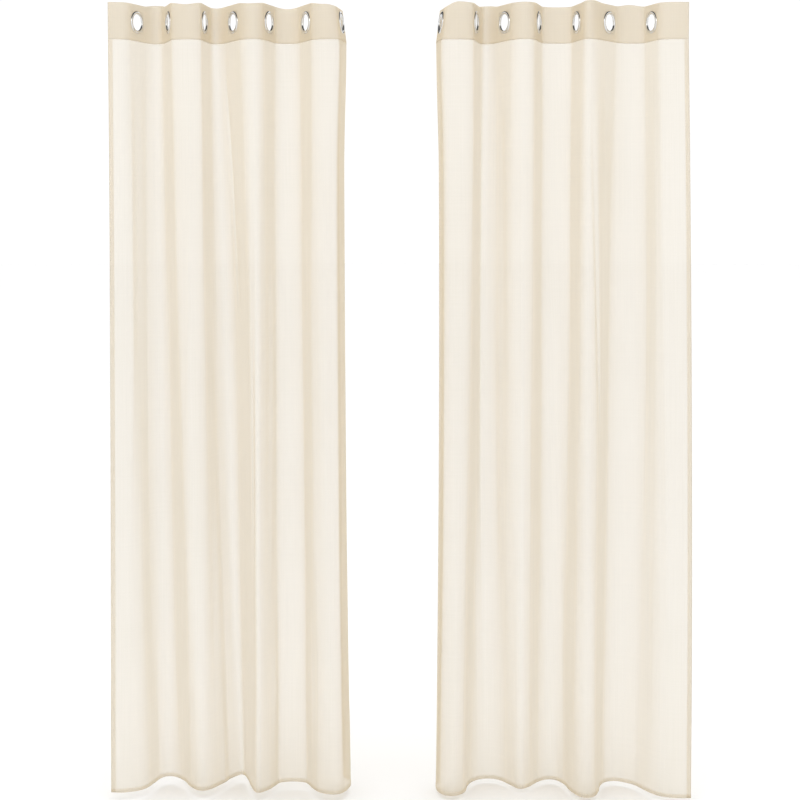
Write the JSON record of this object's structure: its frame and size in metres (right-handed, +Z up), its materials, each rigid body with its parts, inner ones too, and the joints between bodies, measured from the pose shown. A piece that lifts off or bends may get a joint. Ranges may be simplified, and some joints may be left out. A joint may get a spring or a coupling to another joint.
{
  "type": "pair of sheer voile eyelet curtain panels",
  "caption": "Pair of floor-length sheer voile curtain panels with doubled headings and metal eyelets, hanging in soft uneven folds.",
  "frame": {"origin": "on the line of the rod that the eyelets hang on, midway between the two panels", "axes": "+X along the rod to the right as seen from the room, +Y from the room towards the window, +Z up"},
  "size_m": [1.573, 0.1698, 2.145],
  "materials": {
    "voile": "plain-woven sheer voile, ivory",
    "doubled_voile": "the same ivory voile, folded double and stitched",
    "eyelet_metal": "pressed and chromed, polished"
  },
  "bodies": {
    "root": {"left_heading": "doubled_voile", "left_cloth": "voile", "left_eyelet_1": "eyelet_metal", "left_eyelet_2": "eyelet_metal", "left_eyelet_3": "eyelet_metal", "left_eyelet_4": "eyelet_metal", "left_eyelet_5": "eyelet_metal", "left_eyelet_6": "eyelet_metal", "left_eyelet_7": "eyelet_metal", "right_heading": "doubled_voile", "right_cloth": "voile", "right_eyelet_1": "eyelet_metal", "right_eyelet_2": "eyelet_metal", "right_eyelet_3": "eyelet_metal", "right_eyelet_4": "eyelet_metal", "right_eyelet_5": "eyelet_metal", "right_eyelet_6": "eyelet_metal", "right_eyelet_7": "eyelet_metal"}
  },
  "joints": []
}
